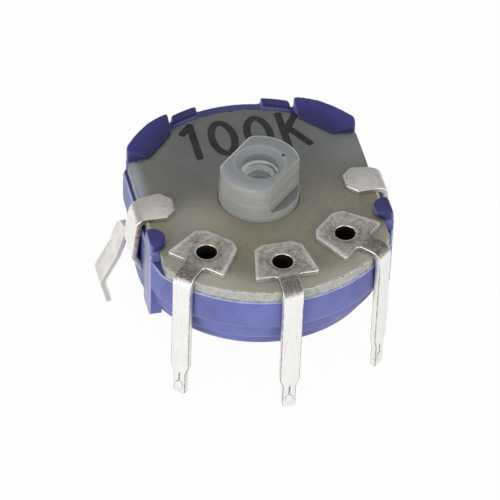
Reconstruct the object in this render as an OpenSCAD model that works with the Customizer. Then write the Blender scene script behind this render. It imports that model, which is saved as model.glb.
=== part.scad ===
// Rotary potentiometer for a circuit board. A moulded cup carries a resistor board with
// three riveted terminals, two folded clips hold the board down, and a rotor turns between
// the board and the cup's floor. The rotor axis is Z, and the terminals face -Y.
// Z is zero on the face of the circuit board that the terminals seat on.

/* [Housing] */
// Outside diameter of the cup's upper tier
cup_d = 21.2; // [20.8:0.1:21.6]
// Height of the cup from its underside to the resistor board
cup_h = 5.45; // [5.2:0.05:5.8]
// Height of the cup's upper tier
upper_h = 2.6; // [2.3:0.05:2.8]
// Height of the cup's lower tier
lower_h = 1.2; // [1.1:0.05:1.4]
// How far each tier stands in from the tier above it
tier_step = 0.7; // [0.5:0.05:0.8]
// Width of the steep chamfer along the lower edge of each tier
tier_cut_w = 0.15; // [0.05:0.01:0.2]
// Height of the steep chamfer along the lower edge of each tier
tier_cut_h = 0.35; // [0.2:0.05:0.5]
// Thickness of the round wall of the upper tier
wall_t = 1.4; // [1.2:0.05:1.5]
// Thickness of the round wall of the lower tier
low_wall_t = 0.8; // [0.6:0.05:1]
// Thickness of the wall along the straight sides
side_wall_t = 0.85; // [0.7:0.05:1]
// Thickness of the cup's floor
floor_t = 1; // [0.8:0.05:1.2]
// Width across the straight sides of the cup
cup_flat_w = 18.2; // [18:0.05:18.4]
// How far the sides slant in, in front of the posts
front_setback = 0.4; // [0.2:0.05:0.45]

/* [Rim, hooks and posts] */
// Thickness of the rim behind the resistor board
rim_t = 0.9; // [0.7:0.05:1]
// Drop of the rim's top below the resistor board's face
rim_drop = 0.1; // [0:0.05:0.3]
// Rise of the two raised ends of the rim over the resistor board
rim_end_rise = 0.5; // [0.3:0.05:0.9]
// Width of each raised end of the rim
rim_end_w = 2.1; // [1.5:0.1:2.3]
// Thickness of each raised end of the rim
rim_end_t = 0.65; // [0.5:0.05:0.9]
// Width of the slit between a raised end and its hook
hook_slit = 0.25; // [0.15:0.05:0.4]
// Rise of the back hooks over the resistor board
hook_rise = 1.25; // [1:0.05:1.6]
// Reach of a back hook's nose, inwards from the cup's outside
hook_reach = 1.74; // [1.5:0.02:1.9]
// Turn of each back hook from the back towards the side
hook_turn = 47.2; // [44:0.2:50]
// Distance from the rotor axis to a back hook's front face
hook_front_y = 5.4; // [5.2:0.1:5.8]
// Distance from the middle plane to a back hook's inner side
hook_side_x = 4.85; // [4.6:0.05:5.2]
// Thickness of a front post
post_t = 0.75; // [0.6:0.05:0.9]
// How far a front post stands out from the straight side
post_stand = 0.1; // [0:0.05:0.2]
// Length of a front post along the side
post_l = 2; // [1.8:0.05:2.2]
// Distance from the rotor axis to a front post's front face
post_front_y = 4.6; // [4.4:0.05:4.7]
// Rise of the front posts over the resistor board
post_rise = 0.8; // [0.6:0.05:1.2]
// Rise of a front post's lower end over the cup's underside
post_foot_rise = 0.2; // [0:0.05:0.5]
// Reach of a front post's round nose over the resistor board
nose_reach = 0.65; // [0.5:0.05:0.8]

/* [Resistor board] */
// Thickness of the resistor board
board_t = 0.9; // [0.8:0.05:1.2]
// Height of the resistor board's face over the circuit board
board_top = 8.7; // [8.4:0.1:10]
// How far the board's front edge stays inside the cup's outside
board_setback = 0.1; // [0.05:0.05:0.3]
// Width across the resistor board's straight sides
board_w = 17.5; // [17.3:0.05:17.6]
// Thickness of the printed layers
print_t = 0.05; // [0.03:0.01:0.06]
// Width of the resistive track
track_w = 1.1; // [0.9:0.05:1.15]
// Width of the collector ring
collector_w = 0.75; // [0.6:0.05:0.8]

/* [Terminals] */
// Thickness of the terminal metal
metal_t = 0.45; // [0.35:0.05:0.55]
// Turn of the outer terminals from the front
terminal_turn = 43.4; // [42:0.2:46]
// Clearance between the terminal legs and the cup
leg_gap = 0.12; // [0.08:0.02:0.3]
// Radius of the hole in each terminal
eyelet_r = 0.76; // [0.7:0.02:0.85]
// Wall of the drawn eyelet
eyelet_wall = 0.25; // [0.2:0.01:0.3]
// Width of the eyelet's flare under the resistor board
flare_w = 0.45; // [0.25:0.05:0.5]
// Radius of the dished mouth round each hole
dish_r = 1.35; // [1.2:0.05:1.5]
// Depth of the dished mouth
dish_depth = 0.15; // [0.1:0.05:0.3]
// Width of a lug at its broad end
lug_w = 4.8; // [4.4:0.1:5]
// Length of a lug along its radius
lug_l = 3.5; // [3.3:0.05:3.7]
// Width of a terminal leg
leg_w = 1.5; // [1.3:0.05:1.7]
// Width of a terminal's soldering tip
tip_w = 1; // [0.8:0.05:1.1]
// Length of a terminal below the circuit board's face
tip_drop = 2.4; // [2:0.1:3.5]
// Height over which a leg narrows to its tip
taper_h = 0.8; // [0.5:0.05:1.2]

/* [Clips] */
// Thickness of the clip metal
clip_t = 0.42; // [0.35:0.01:0.45]
// Width of a clip's strip
clip_w = 2.7; // [2.4:0.05:2.9]
// Distance from the rotor axis to the strip's back edge
clip_back_y = 1.25; // [1:0.05:1.4]
// How far the tab reaches in over the resistor board
tab_reach = 2.25; // [1.8:0.05:2.5]
// How far the strip's bend stands off the cup's straight side
clip_bow = 0.4; // [0.2:0.05:0.6]
// Drop of the strip's bend below the resistor board's face
clip_bend_drop = 3.2; // [3:0.05:3.3]
// Drop of the strip's lower end below its bend
clip_end_drop = 1.4; // [1.2:0.05:1.5]
// How far the strip's lower end tucks into the cup's side
clip_tuck = 0.2; // [0.1:0.05:0.25]
// Width of a clip's leg
clip_leg_w = 2.05; // [1.8:0.05:2.1]
// Drop of a clip leg's tip below the circuit board's face
clip_drop = 1.25; // [0.8:0.05:2]
// Lean of the left clip's leg, outwards from upright
left_lean = 15; // [0:1:18]
// Lean of the right clip's leg, outwards from upright
right_lean = 5; // [0:1:18]

/* [Rotor] */
// Diameter of the rotor's hub
hub_d = 6; // [5.6:0.05:6.2]
// Height of the hub over the resistor board
hub_rise = 3.3; // [2.8:0.05:4]
// Width across the hub's two flats
hub_flat_w = 4.45; // [4.2:0.05:5]
// Height of the round collar under the flats
collar_rise = 0.85; // [0.5:0.05:1.2]
// Diameter of the screw hole in the hub
bore_d = 2.1; // [1.8:0.05:2.4]
// Depth of the screw hole
bore_depth = 4.6; // [4:0.1:4.9]
// Diameter of the wide upper part of the screw hole
bore_guide_d = 2.8; // [2.5:0.05:3]
// Depth of the wide upper part of the screw hole
bore_guide_depth = 1.2; // [0.8:0.05:1.6]
// Diameter of the screw hole's countersunk mouth
bore_mouth_d = 3.7; // [3.2:0.05:3.9]
// Depth of the screw hole's countersunk mouth
bore_mouth_h = 0.4; // [0.2:0.05:0.6]
// Turn of the hub's flats from straight ahead, clockwise
rotor_turn = 46; // [0:1:90]
// Thickness of the rotor's disc
disc_t = 0.9; // [0.7:0.05:1]
// Reach of the stop lug past the edge of the disc
stop_reach = 0.5; // [0.4:0.05:0.6]
// Diameter of the pivot under the disc
pivot_d = 3.5; // [3:0.1:4]
// Half of the rotor's whole travel
half_travel = 130; // [120:1:135]

/* [Hidden] */
$fn = 96;

// One overrun serves every cut
over = 1;
// Clearance of fixed pieces that seat beside each other
seat_gap = 0.05;
// Radial clearance of the rotor in its two bearings
run_gap = 0.05;
// Clearance of the rotor along its axis
end_gap = 0.1;
// Clearance of the rotor's lug and disc inside the cup
swing_gap = 0.15;

// Levels of the resistor board and the cup
board_low = board_top - board_t;
print_low = board_low - print_t;
cup_low = board_low - cup_h;
floor_top = cup_low + floor_t;
upper_low = board_low - upper_h;
lower_top = cup_low + lower_h;
cavity_step = lower_top + low_wall_t;

// Radii and half widths of the cup and the board
cup_r = cup_d / 2;
middle_r = cup_r - tier_step;
lower_r = middle_r - tier_step;
cavity_r = cup_r - wall_t;
low_cavity_r = lower_r - low_wall_t;
cup_half_w = cup_flat_w / 2;
front_half_w = cup_half_w - front_setback;
front_corner_y = sqrt(cup_r * cup_r - front_half_w * front_half_w);
cavity_half_w = cup_half_w - side_wall_t;
rim_inner_r = cup_r - rim_t;
rim_end_inner_r = cup_r - rim_end_t;
board_r = cup_r - board_setback;
board_half_w = board_w / 2;

// Hook and post sizes
hook_nose_y = cup_r - hook_reach;
hook_nose_t = 0.15;
hook_land = 0.2;
hook_outer_x = board_half_w + seat_gap;
post_outer_x = cup_half_w + post_stand;
post_inner_x = post_outer_x - post_t;
post_nose_r = post_l / 2;
post_nose_x = post_inner_x - nose_reach + post_nose_r;
post_nose_y = post_nose_r - post_front_y;

// Terminal sizes
eyelet_outer_r = eyelet_r + eyelet_wall;
flare_r = eyelet_outer_r + flare_w;
flare_t = 0.25;
eyelet_circle_r = cavity_r - swing_gap - flare_r;
leg_circle_r = cup_r + leg_gap + metal_t / 2;
fold_r = 0.35;
neck_fillet_r = 0.35;
lug_hole_share = 0.535;
lug_inner_share = 0.46;
lug_shoulder_share = 0.75;
lug_shoulder_depth_share = 0.14;
lug_inner_y = eyelet_circle_r - lug_hole_share * lug_l;
lug_outer_y = lug_inner_y + lug_l;
tip_cut = 0.12;
terminal_turns = [-terminal_turn, 0, terminal_turn];

// Clip sizes, as centre lines of the sheet
clip_front_y = clip_back_y - clip_w;
clip_fold_r = 0.5;
clip_tab_x = board_half_w - tab_reach;
clip_tab_z = board_top + clip_t / 2;
clip_top_x = max(cup_half_w, board_half_w + seat_gap) + clip_t / 2;
clip_bend_x = clip_top_x + clip_bow;
clip_bend_z = board_top - clip_bend_drop;
clip_end_x = cup_half_w - clip_tuck;
clip_end_z = clip_bend_z - clip_end_drop;
clip_tuck_turn = atan2(clip_bend_x - clip_end_x, clip_end_drop);
clip_ear_h = 0.6;
clip_knee_share = 0.34;
clip_kink_share = 0.7;
clip_knee_bend = 11;
clip_kink_bend = 41;
tab_corner = 0.75;

// Rotor and wiper sizes
hub_r = hub_d / 2;
board_hole_r = hub_r + run_gap;
collar_reach = 0.7;
collar_r = hub_r + collar_reach;
collar_h = 0.75;
collar_top = board_low - end_gap;
disc_top = collar_top - collar_h;
disc_low = disc_top - disc_t;
stop_lug_r = min(cavity_half_w, cavity_r) - swing_gap;
disc_r = stop_lug_r - stop_reach;
pivot_r = pivot_d / 2;
boss_wall = 1.3;
boss_r = pivot_r + boss_wall;
boss_top = disc_low - end_gap;
pivot_web = 0.5;
pivot_floor = cup_low + pivot_web;
pivot_low = pivot_floor + end_gap;
lug_half_turn = 8;
stop_gap_turn = 1;
stop_half_turn = 180 - half_travel - lug_half_turn - stop_gap_turn;
stop_r = disc_r + swing_gap;
stop_top = disc_top + end_gap;
spring_t = 0.2;
spring_edge = 0.9;
spring_inner_r = collar_r + swing_gap;
spring_outer_r = disc_r - spring_edge;
spring_turn = 150;
spring_start = 28;
finger_w = 0.6;
finger_l = 3.2;
finger_flat_share = 0.8;
nose_r = 0.2;
nose_top = print_low - seat_gap;
peg_r = 0.35;
peg_h = 0.3;
peg_circle_r = (spring_inner_r + spring_outer_r) / 2;
peg_shares = [1 / 3, 2 / 3];

// Places of the printed rings between the rotor's collar and the eyelets, over the wiper's plate
ring_room = min(eyelet_circle_r - flare_r, spring_outer_r) - collar_r;
collector_place_share = 0.23;
track_place_share = 0.735;
collector_r = collar_r + collector_place_share * ring_room;
track_r = collar_r + track_place_share * ring_room;
track_inner_r = track_r - track_w / 2;
pad_half_turn = 11;
pad_outer_r = cavity_r - swing_gap;
track_half_turn = 180 - terminal_turn - pad_half_turn;

// Unit vector at a turn from +X
function way(turn) = [cos(turn), sin(turn)];

// Points of an arc round a centre, from one turn to another
bend_steps = 6;
function arc(centre, r, from, to) =
    [for (i = [0:bend_steps]) centre + r * way(from + (to - from) * i / bend_steps)];

// Heading of each straight run of a path
function heading(path, i) = let (d = path[i + 1] - path[i]) atan2(d.y, d.x);

// A turn between two headings, the short way round
function short_turn(turn) = turn - 360 * round(turn / 360);

// One side of a folded strip: the path moved sideways by a distance, with round bends
function strip_side(path, r, offset) = [
    for (i = [0:len(path) - 1])
        let (last = len(path) - 1,
             h0 = heading(path, max(i - 1, 0)),
             turn = short_turn(heading(path, min(i, last - 1)) - h0),
             side = turn > 0 ? 1 : -1,
             centre = path[i] + side * r / cos(turn / 2) * way(h0 + turn / 2 + 90),
             from = h0 - side * 90)
        each (turn == 0
            ? [path[i] + offset * way(h0 + 90)]
            : arc(centre, r - side * offset, from, from + turn))
];

// A strip of sheet folded along a path in the X-Z plane, as wide as stated along +Y
module folded_strip(path, r, t, w) {
    outline = concat(strip_side(path, r, t / 2), [
        for (i = [len(strip_side(path, r, -t / 2)) - 1:-1:0]) strip_side(path, r, -t / 2)[i]
    ]);
    translate([0, w, 0])
        rotate([90, 0, 0])
            linear_extrude(w) polygon(outline);
}

// A block of a ring round the Z axis, centred on a turn from +X
module ring_block(inner_r, outer_r, low, high, middle, half_turn) {
    rotate([0, 0, middle - half_turn])
        rotate_extrude(angle = 2 * half_turn)
            translate([inner_r, low]) square([outer_r - inner_r, high - low]);
}

// A round slab with two straight sides
module flatted_slab(r, half_w, low, high) {
    translate([0, 0, low])
        intersection() {
            cylinder(r = r, h = high - low);
            translate([-half_w, -r, 0]) cube([2 * half_w, 2 * r, high - low]);
        }
}

module ring(inner_r, outer_r, low, high) {
    translate([0, 0, low])
        difference() {
            cylinder(r = outer_r, h = high - low);
            translate([0, 0, -over]) cylinder(r = inner_r, h = high - low + 2 * over);
        }
}

// Copies a right-hand shape to both sides of the middle plane
module both_sides() {
    children();
    mirror([1, 0, 0]) children();
}

// Back wall that the resistor board nests in, with its two raised ends
module back_rim() {
    rim_end_x = hook_side_x - hook_slit - rim_end_w;
    intersection() {
        ring(rim_inner_r, cup_r, board_low, board_top - rim_drop);
        translate([-hook_outer_x, hook_front_y, 0])
            cube([2 * hook_outer_x, cup_r, board_top + hook_rise]);
    }
    both_sides()
        intersection() {
            ring(rim_end_inner_r, cup_r, board_low, board_top + rim_end_rise);
            translate([rim_end_x, 0, 0]) cube([rim_end_w, cup_r, board_top + hook_rise]);
        }
}

// Snap hook that leans in over a back corner of the resistor board
module back_hook() {
    low = board_top + seat_gap;
    top = board_top + hook_rise;
    land_y = cup_r - hook_land;
    intersection() {
        flatted_slab(cup_r, hook_outer_x, board_low, top);
        translate([hook_side_x, hook_front_y, 0]) cube([cup_r, cup_r, top]);
        rotate([0, 0, -hook_turn])
            translate([-cup_r, 0, 0])
                rotate([90, 0, 90])
                    linear_extrude(cup_d)
                        polygon([
                            [hook_nose_y, low], [hook_nose_y, low + hook_nose_t], [land_y, top],
                            [cup_r, top], [cup_r, low]
                        ]);
    }
    intersection() {
        ring(rim_inner_r, cup_r, board_low, low);
        translate([hook_side_x, hook_front_y, 0])
            cube([hook_outer_x - hook_side_x, cup_r, top]);
    }
}

// Post beside a front corner of the resistor board, with a round nose over it
module front_post() {
    top = board_top + post_rise;
    foot = cup_low + post_foot_rise;
    translate([post_inner_x, -post_front_y, foot]) cube([post_t, post_l, top - foot]);
    translate([cavity_half_w, -post_front_y, foot])
        cube([post_outer_x - cavity_half_w, post_l, board_low - foot]);
    intersection() {
        translate([post_nose_x, post_nose_y, board_top + seat_gap])
            cylinder(r = post_nose_r, h = post_rise - seat_gap);
        translate([0, -post_front_y, 0]) cube([post_outer_x, post_l, top]);
    }
}

// Pocket in the cup's straight side that a clip's lower end tucks into
module clip_pocket() {
    half = clip_t / 2;
    deep_x = clip_end_x - half * cos(clip_tuck_turn) - seat_gap;
    low = clip_end_z - half * sin(clip_tuck_turn) - seat_gap;
    mouth_z = clip_bend_z - (clip_bend_x - cup_half_w) / tan(clip_tuck_turn);
    high = mouth_z + half / sin(clip_tuck_turn) + seat_gap;
    translate([deep_x, clip_front_y - seat_gap, low])
        cube([cup_r - deep_x, clip_w + 2 * seat_gap, high - low]);
}

// Outside of the cup: three round tiers, each with a chamfered lower edge, between straight sides
// that slant in at the front
module cup_tiers() {
    intersection() {
        rotate_extrude()
            polygon([
                [0, cup_low], [lower_r - tier_cut_w, cup_low], [lower_r, cup_low + tier_cut_h],
                [lower_r, lower_top], [middle_r - tier_cut_w, lower_top],
                [middle_r, lower_top + tier_cut_h], [middle_r, upper_low],
                [cup_r - tier_cut_w, upper_low], [cup_r, upper_low + tier_cut_h],
                [cup_r, board_low], [0, board_low]
            ]);
        translate([0, 0, cup_low])
            linear_extrude(cup_h)
                polygon([
                    [-cup_half_w, cup_r], [-cup_half_w, -post_front_y], [-front_half_w, -front_corner_y],
                    [-front_half_w, -cup_r], [front_half_w, -cup_r], [front_half_w, -front_corner_y],
                    [cup_half_w, -post_front_y], [cup_half_w, cup_r]
                ]);
    }
}

module housing() {
    color("slateblue") {
        difference() {
            union() {
                cup_tiers();
                back_rim();
                both_sides() back_hook();
                both_sides() front_post();
            }
            flatted_slab(low_cavity_r, cavity_half_w, floor_top, board_low);
            flatted_slab(cavity_r, cavity_half_w, cavity_step, board_low);
            both_sides() clip_pocket();
            translate([0, 0, pivot_floor]) cylinder(r = pivot_r + run_gap, h = cup_h);
        }
        ring(pivot_r + run_gap, boss_r, floor_top - seat_gap, boss_top);
        intersection() {
            ring_block(stop_r, cup_r, floor_top - seat_gap, stop_top, -90, stop_half_turn);
            union() {
                flatted_slab(low_cavity_r + seat_gap, cavity_half_w, cup_low, stop_top);
                flatted_slab(cavity_r + seat_gap, cavity_half_w, cavity_step - seat_gap, stop_top);
            }
        }
    }
}

// Moves a shape from the front to a terminal's place
module at_terminal(turn) {
    rotate([0, 0, turn]) translate([0, -eyelet_circle_r, 0]) children();
}

module resistor_board() {
    nest_r = rim_inner_r - seat_gap;
    nest_y = hook_front_y - seat_gap;
    notch_x = post_inner_x - seat_gap;
    notch_back_y = post_front_y - post_l - seat_gap;
    color("#74766c")
        difference() {
            union() {
                flatted_slab(nest_r, board_half_w, board_low, board_top);
                intersection() {
                    flatted_slab(board_r, board_half_w, board_low, board_top);
                    translate([-board_half_w, -board_r, board_low])
                        cube([board_w, board_r + nest_y, board_t]);
                }
            }
            translate([0, 0, board_low - over]) cylinder(r = board_hole_r, h = board_t + 2 * over);
            for (turn = terminal_turns)
                at_terminal(turn)
                    translate([0, 0, board_low - over])
                        cylinder(r = eyelet_outer_r + seat_gap, h = board_t + 2 * over);
            both_sides()
                translate([notch_x, -board_r, board_low - over])
                    cube([board_w, board_r - notch_back_y, board_t + 2 * over]);
        }
}

// Cuts the eyelets' holes out of a printed layer
module pierced() {
    difference() {
        children();
        for (turn = terminal_turns)
            at_terminal(turn)
                translate([0, 0, print_low - over])
                    cylinder(r = eyelet_outer_r + seat_gap, h = print_t + 2 * over);
    }
}

module resistive_track() {
    color("#26262a")
        ring_block(track_inner_r, track_r + track_w / 2, print_low, board_low, 90, track_half_turn);
}

module collector_track() {
    inner_r = collector_r - collector_w / 2;
    color("silver")
        pierced() {
            ring(inner_r, collector_r + collector_w / 2, print_low, board_low);
            ring_block(collector_r, pad_outer_r, print_low, board_low, -90, pad_half_turn);
        }
}

module end_pads() {
    color("silver")
        pierced()
            intersection() {
                both_sides()
                    ring_block(track_inner_r, pad_outer_r, print_low, board_low,
                        -90 + terminal_turn, pad_half_turn);
                flatted_slab(cavity_r, cavity_half_w - swing_gap, print_low, board_low);
            }
}

// Outline of the flat blank from above: the lug and its neck
module lug_outline() {
    half = lug_w / 2;
    neck = leg_w / 2;
    shoulder_y = lug_inner_y + lug_shoulder_depth_share * lug_l;
    difference() {
        union() {
            polygon([
                [-lug_inner_share * half, -lug_inner_y], [lug_inner_share * half, -lug_inner_y],
                [lug_shoulder_share * half, -shoulder_y], [half, -lug_outer_y],
                [-half, -lug_outer_y], [-lug_shoulder_share * half, -shoulder_y]
            ]);
            translate([-neck - neck_fillet_r, -lug_outer_y - neck_fillet_r])
                square([2 * (neck + neck_fillet_r), neck_fillet_r]);
            translate([-neck, -leg_circle_r - metal_t])
                square([leg_w, leg_circle_r + metal_t - lug_outer_y]);
        }
        for (side = [-1, 1])
            translate([side * (neck + neck_fillet_r), -lug_outer_y - neck_fillet_r])
                circle(r = neck_fillet_r);
    }
}

// Outline of the folded blank from the front: the lug's edge, the leg and its tip
module leg_outline() {
    half = leg_w / 2;
    tip = tip_w / 2;
    lug_low = board_top - fold_r;
    polygon([
        [-lug_w / 2, board_top + metal_t], [lug_w / 2, board_top + metal_t],
        [lug_w / 2, lug_low], [half, lug_low], [half, taper_h / 2], [tip, -taper_h / 2],
        [tip, tip_cut - tip_drop], [tip - tip_cut, -tip_drop], [tip_cut - tip, -tip_drop],
        [-tip, tip_cut - tip_drop], [-tip, -taper_h / 2], [-half, taper_h / 2],
        [-half, lug_low], [-lug_w / 2, lug_low]
    ]);
}

// Drawn eyelet that rivets a terminal to the resistor board
module eyelet() {
    low = print_low - flare_t;
    dish_low = board_top + metal_t - dish_depth;
    rotate_extrude()
        polygon([
            [eyelet_r, low], [flare_r, low], [flare_r, print_low], [eyelet_outer_r, print_low],
            [eyelet_outer_r, board_top], [dish_r + eyelet_wall, board_top],
            [dish_r, board_top + metal_t], [eyelet_r, dish_low]
        ]);
}

// A terminal at the front: a stamped blank, folded down and riveted through the board
module terminal() {
    mid = board_top + metal_t / 2;
    height = board_top + metal_t + tip_drop;
    path = [[-lug_inner_y, mid], [-leg_circle_r, mid], [-leg_circle_r, -tip_drop]];
    difference() {
        intersection() {
            translate([-lug_w / 2, 0, 0])
                rotate([0, 0, 90])
                    mirror([0, 1, 0])
                        folded_strip(path, fold_r + metal_t / 2, metal_t, lug_w);
            translate([0, 0, -tip_drop]) linear_extrude(height) lug_outline();
            rotate([90, 0, 0]) linear_extrude(leg_circle_r + over) leg_outline();
        }
        translate([0, -eyelet_circle_r, board_top - over])
            cylinder(r = dish_r, h = metal_t + 2 * over);
    }
    translate([0, -eyelet_circle_r, 0]) eyelet();
}

module terminal_left() {
    color("silver") rotate([0, 0, -terminal_turn]) terminal();
}

module terminal_middle() {
    color("silver") terminal();
}

module terminal_right() {
    color("silver") rotate([0, 0, terminal_turn]) terminal();
}

// A clip on the right side: a tab over the board, a strip that bows down the side and tucks
// into the cup, and beside the strip a kinked leg for the circuit board
module clip(lean) {
    strip_path = [
        [clip_tab_x, clip_tab_z], [clip_top_x, clip_tab_z], [clip_bend_x, clip_bend_z],
        [clip_end_x, clip_end_z]
    ];
    intersection() {
        translate([0, clip_front_y, 0]) folded_strip(strip_path, clip_fold_r, clip_t, clip_w);
        linear_extrude(board_top + clip_t)
            polygon([
                [clip_tab_x, clip_front_y + tab_corner], [clip_tab_x + tab_corner, clip_front_y],
                [clip_bend_x + clip_t, clip_front_y], [clip_bend_x + clip_t, clip_back_y],
                [clip_tab_x + tab_corner, clip_back_y], [clip_tab_x, clip_back_y - tab_corner]
            ]);
    }
    // The leg carries on from the strip's slope and then takes its own lean
    slope = (clip_bend_x - clip_top_x) / (clip_tab_z - clip_bend_z);
    leg_h = clip_bend_z + clip_drop;
    knee_h = clip_knee_share * leg_h;
    kink_h = clip_kink_share * leg_h - knee_h;
    tip_h = leg_h - knee_h - kink_h;
    knee = [clip_bend_x, clip_bend_z] + knee_h * [tan(lean), -1];
    kink = knee + kink_h * [tan(lean + clip_knee_bend), -1];
    leg_path = [
        [clip_bend_x - slope * clip_ear_h, clip_bend_z + clip_ear_h], [clip_bend_x, clip_bend_z],
        knee, kink, kink + tip_h * [tan(lean + clip_knee_bend - clip_kink_bend), -1]
    ];
    translate([0, clip_back_y, 0]) folded_strip(leg_path, clip_fold_r, clip_t, clip_leg_w);
}

module clip_left() {
    color("gainsboro") mirror([1, 0, 0]) clip(left_lean);
}

module clip_right() {
    color("gainsboro") clip(right_lean);
}

// Double-D hub with its screw hole, turned to the hub's own frame
module hub() {
    top = board_top + hub_rise;
    difference() {
        translate([0, 0, disc_low]) cylinder(r = hub_r, h = top - disc_low);
        both_sides()
            translate([hub_flat_w / 2, -hub_d, board_top + collar_rise]) cube([hub_d, 2 * hub_d, hub_rise]);
        translate([0, 0, top - bore_depth]) cylinder(d = bore_d, h = bore_depth + over);
        translate([0, 0, top - bore_guide_depth])
            cylinder(d = bore_guide_d, h = bore_guide_depth + over);
        translate([0, 0, top - bore_mouth_h])
            cylinder(d1 = bore_guide_d, d2 = bore_mouth_d, h = bore_mouth_h);
    }
}

module rotor() {
    color("whitesmoke")
        rotate([0, 0, -rotor_turn]) {
            hub();
            ring(bore_mouth_d / 2, collar_r, disc_low, collar_top);
            ring(bore_mouth_d / 2, disc_r, disc_low, disc_top);
            translate([0, 0, pivot_low]) cylinder(r = pivot_r, h = disc_low - pivot_low + seat_gap);
            ring_block(disc_r - seat_gap, stop_lug_r, disc_low, disc_top, 90, lug_half_turn);
            for (share = peg_shares)
                rotate([0, 0, 90 + spring_start + share * spring_turn])
                    translate([peg_circle_r, 0, disc_top - seat_gap])
                        cylinder(r = peg_r, h = peg_h + seat_gap);
        }
}

// Spring finger that rises from the spring's plate to a printed track
module finger(r) {
    low = disc_top + spring_t / 2;
    high = nose_top - nose_r;
    translate([0, r - finger_w / 2, 0]) {
        folded_strip([[-finger_l, low], [-finger_flat_share * finger_l, low], [0, high]],
            spring_t, spring_t, finger_w);
        translate([0, finger_w, high]) rotate([90, 0, 0]) cylinder(r = nose_r, h = finger_w);
    }
}

module wiper_contact() {
    color("goldenrod")
        rotate([0, 0, -rotor_turn]) {
            difference() {
                rotate([0, 0, 90 + spring_start])
                    rotate_extrude(angle = spring_turn)
                        translate([spring_inner_r, disc_top])
                            square([spring_outer_r - spring_inner_r, spring_t]);
                for (share = peg_shares)
                    rotate([0, 0, 90 + spring_start + share * spring_turn])
                        translate([peg_circle_r, 0, disc_top - over])
                            cylinder(r = peg_r + seat_gap, h = spring_t + 2 * over);
            }
            finger(track_r);
            finger(collector_r);
        }
}

housing();
resistor_board();
resistive_track();
collector_track();
end_pads();
terminal_left();
terminal_middle();
terminal_right();
clip_left();
clip_right();
rotor();
wiper_contact();
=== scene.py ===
"""Looks of an open-face rotary potentiometer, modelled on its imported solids.

Pieces are shaped in millimetres and then set in place in metres. Every piece stays in the part's own
frame: Z is the rotor axis, the terminals face -Y, and zero is the circuit board's face.
"""

import math

import bmesh
import bpy
from mathutils import Matrix, Vector


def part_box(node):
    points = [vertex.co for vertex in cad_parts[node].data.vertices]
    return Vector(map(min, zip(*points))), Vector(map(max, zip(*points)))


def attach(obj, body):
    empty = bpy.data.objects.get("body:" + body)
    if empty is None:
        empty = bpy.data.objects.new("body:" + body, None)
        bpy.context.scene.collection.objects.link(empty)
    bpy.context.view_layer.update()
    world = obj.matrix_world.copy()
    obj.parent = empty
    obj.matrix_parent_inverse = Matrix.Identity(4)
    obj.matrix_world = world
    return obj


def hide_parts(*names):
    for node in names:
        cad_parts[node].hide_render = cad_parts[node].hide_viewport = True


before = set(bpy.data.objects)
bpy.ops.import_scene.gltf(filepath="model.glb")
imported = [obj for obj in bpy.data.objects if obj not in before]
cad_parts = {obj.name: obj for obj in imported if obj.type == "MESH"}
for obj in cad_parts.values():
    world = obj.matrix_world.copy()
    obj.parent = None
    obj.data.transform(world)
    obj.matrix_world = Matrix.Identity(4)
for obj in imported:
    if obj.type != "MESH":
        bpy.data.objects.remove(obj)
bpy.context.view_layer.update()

bl_info = {
    "name": "Rotary Potentiometer Looks",
    "version": (1, 0, 0),
    "blender": (4, 5, 0),
    "location": "View3D > Sidebar > Potentiometer",
    "description": "Dresses the solids of an open-face rotary potentiometer and sets its stage",
    "category": "Object",
}

MM = 0.001
BOARD_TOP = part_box("resistor_board")[1].z / MM
BOARD_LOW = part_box("resistor_board")[0].z / MM
BOARD_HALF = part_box("resistor_board")[1].x / MM
BOARD_FRONT = -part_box("resistor_board")[0].y / MM
HUB_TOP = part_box("rotor")[1].z / MM
TIP_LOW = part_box("terminal_middle")[0].z
LEG_FACE = -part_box("terminal_middle")[0].y / MM
LUG_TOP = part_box("terminal_middle")[1].z / MM
# The cup's straight sides and least outer radius, the back edges of a clip's strip and leg, the ink's height
CUP_SIDE = 9.14
CUP_ROUND = 9.3
STRIP_BACK = 1.25
LEG_BACK = 3.3
INK = 0.015
# The middle terminal: its eyelet's place, its nib's half sizes and height, and the sides of its lug,
# each as an outward direction and its distance from the rotor axis
EYELET = (0.0, -7.59)
NIB = (0.29, 0.44, -1.62)
LUG_SIDE = (0.980, 0.196, 0.549)
LUG_CORNER = (0.565, 0.825, -4.095)
LUG_BACK = (0.0, 1.0, -5.72)
# The hub: its radius, half its width across the flats, the way its flats run, its pit and its thread
HUB_RADIUS = 3.0
HUB_FLAT = 2.225
HUB_WAY = (0.719, 0.695)
PIT = (1.86, 0.42)
THREAD_RADIUS = 1.03
THREAD_DEPTHS = (1.62, 2.2, 2.8)
# The photograph's side and the pixel of the rotor axis at the board's face, and the camera's film width
PICTURE = 500
AXIS_PIXEL = (258.622, 195.339)
SENSOR = 36
FLOOR_WHITE = 0.97


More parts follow.
